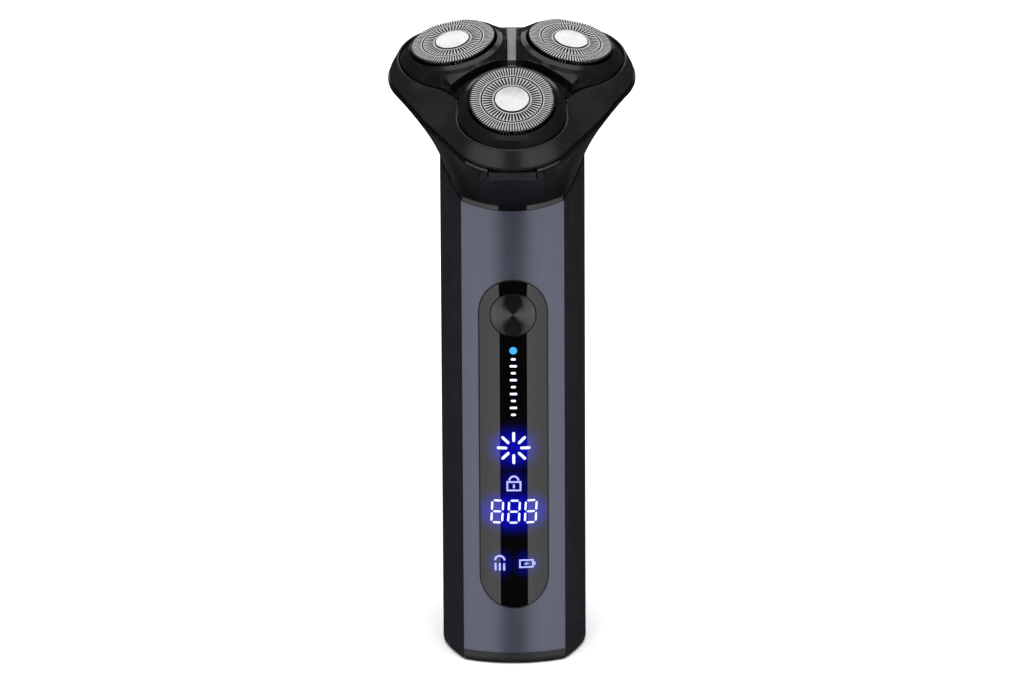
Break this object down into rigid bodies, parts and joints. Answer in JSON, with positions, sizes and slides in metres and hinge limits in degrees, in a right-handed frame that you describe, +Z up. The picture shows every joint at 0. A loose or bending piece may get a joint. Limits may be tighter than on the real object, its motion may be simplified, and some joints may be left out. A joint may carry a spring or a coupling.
{
  "type": "electric shaver",
  "caption": "Upright cordless rotary shaver with a long display window, power button and flip-open head with floating cutters.",
  "frame": {"origin": "on the flat base, under the middle of the handle", "axes": "+Z up along the handle, -Y towards the front with the power button, +X to the right seen from the front"},
  "size_m": [0.0628, 0.0583, 0.1635],
  "materials": {
    "panel_metallic": "satin",
    "body_black": "satin",
    "base_black": "satin",
    "ring_black": "polished",
    "neck_gloss": "polished",
    "seal_rubber": "matte",
    "deck_plastic": "matte",
    "lens_gloss": "polished",
    "diffuser": "matte",
    "circuit_board": "satin",
    "cell_can": "satin",
    "steel_small": "satin",
    "motor_steel": "satin",
    "button_metal": "brushed",
    "tab_gloss": "polished",
    "gear_plastic": "satin",
    "head_satin": "satin",
    "strip_grey": "satin",
    "pod_gloss": "polished",
    "cap_steel": "polished",
    "disc_steel": "satin"
  },
  "bodies": {
    "handle": {"front_panel": "panel_metallic", "rear_cover": "body_black", "bottom_cap": "base_black", "display_lens": "lens_gloss", "lens_gasket": "seal_rubber", "light_guide": "diffuser", "display_board": "circuit_board", "main_board": "circuit_board", "chassis": "deck_plastic", "tactile_switch": "deck_plastic", "battery_cell": "cell_can", "battery_tabs": "steel_small", "charging_socket": "steel_small", "socket_tongue": "deck_plastic", "neck_shell": "neck_gloss", "trim_ring": "ring_black", "neck_gasket": "seal_rubber", "hinge_pin": "steel_small", "spindle_seals": "seal_rubber", "gear_plate": "deck_plastic", "gear_carrier": "deck_plastic", "motor_case": "motor_steel", "motor_end_cap": "deck_plastic"},
    "power_button": {"power_button": "button_metal"},
    "release_tab": {"release_tab": "tab_gloss"},
    "rotor": {"motor_shaft": "steel_small", "drive_pinion": "gear_plastic"},
    "head": {"head_shell": "head_satin", "retaining_plate": "head_satin", "spider_strip": "strip_grey"},
    "gear_front": {"drive_gear_front": "gear_plastic", "drive_spindle_front": "gear_plastic"},
    "pod_front": {"pod_front": "pod_gloss", "shaving_cap_front": "cap_steel", "cap_disc_front": "disc_steel"},
    "blade_front": {"blade_front": "cap_steel", "blade_hub_front": "gear_plastic"},
    "gear_left": {"drive_gear_left": "gear_plastic", "drive_spindle_left": "gear_plastic"},
    "pod_left": {"pod_left": "pod_gloss", "shaving_cap_left": "cap_steel", "cap_disc_left": "disc_steel"},
    "blade_left": {"blade_left": "cap_steel", "blade_hub_left": "gear_plastic"},
    "gear_right": {"drive_gear_right": "gear_plastic", "drive_spindle_right": "gear_plastic"},
    "pod_right": {"pod_right": "pod_gloss", "shaving_cap_right": "cap_steel", "cap_disc_right": "disc_steel"},
    "blade_right": {"blade_right": "cap_steel", "blade_hub_right": "gear_plastic"}
  },
  "joints": [
    {"name": "power_button_press", "type": "slide", "parent": "handle", "child": "power_button", "axis": [0, 1, 0], "range_m": [0, 0.0008], "stiffness_N_per_m": 900, "springref_m": -0.0003},
    {"name": "release_tab_press", "type": "slide", "parent": "handle", "child": "release_tab", "axis": [0, 0.9426, 0.3338], "range_m": [0, 0.001], "stiffness_N_per_m": 900, "springref_m": -0.0003},
    {"name": "head_open", "type": "hinge", "parent": "handle", "child": "head", "pos_m": [0, 0.02244, 0.15637], "axis": [-1, 0, 0], "range_deg": [0, 105]},
    {"name": "motor_spin", "type": "hinge", "parent": "handle", "child": "rotor", "pos_m": [0, -0.00133, 0.1444], "axis": [0, -0.3338, 0.9426], "continuous": true},
    {"name": "gear_front_spin", "type": "hinge", "parent": "handle", "child": "gear_front", "pos_m": [0, -0.01679, 0.13893], "axis": [0, -0.3338, 0.9426], "continuous": true},
    {"name": "pod_front_float", "type": "slide", "parent": "head", "child": "pod_front", "axis": [0, 0.3338, -0.9426], "range_m": [0, 0.0012], "stiffness_N_per_m": 1200, "springref_m": -0.0004},
    {"name": "blade_front_spin", "type": "hinge", "parent": "pod_front", "child": "blade_front", "pos_m": [0, -0.02231, 0.15182], "axis": [0, -0.5225, 0.8526], "continuous": true},
    {"name": "gear_left_spin", "type": "hinge", "parent": "handle", "child": "gear_left", "pos_m": [-0.0142, 0.0064, 0.14714], "axis": [0, -0.3338, 0.9426], "continuous": true},
    {"name": "pod_left_float", "type": "slide", "parent": "head", "child": "pod_left", "axis": [0, 0.3338, -0.9426], "range_m": [0, 0.0012], "stiffness_N_per_m": 1200, "springref_m": -0.0004},
    {"name": "blade_left_spin", "type": "hinge", "parent": "pod_left", "child": "blade_left", "pos_m": [-0.01498, 0.00215, 0.16049], "axis": [-0.1801, -0.2285, 0.9567], "continuous": true},
    {"name": "gear_right_spin", "type": "hinge", "parent": "handle", "child": "gear_right", "pos_m": [0.0142, 0.0064, 0.14714], "axis": [0, -0.3338, 0.9426], "continuous": true},
    {"name": "pod_right_float", "type": "slide", "parent": "head", "child": "pod_right", "axis": [0, 0.3338, -0.9426], "range_m": [0, 0.0012], "stiffness_N_per_m": 1200, "springref_m": -0.0004},
    {"name": "blade_right_spin", "type": "hinge", "parent": "pod_right", "child": "blade_right", "pos_m": [0.01498, 0.00215, 0.16049], "axis": [0.1801, -0.2285, 0.9567], "continuous": true}
  ],
  "couplings": [
    {"joint": "gear_front_spin", "follows": "motor_spin", "ratio": -0.57692},
    {"joint": "blade_front_spin", "follows": "motor_spin", "ratio": -0.57692},
    {"joint": "gear_left_spin", "follows": "motor_spin", "ratio": -0.57692},
    {"joint": "blade_left_spin", "follows": "motor_spin", "ratio": -0.57692},
    {"joint": "gear_right_spin", "follows": "motor_spin", "ratio": -0.57692},
    {"joint": "blade_right_spin", "follows": "motor_spin", "ratio": -0.57692}
  ]
}
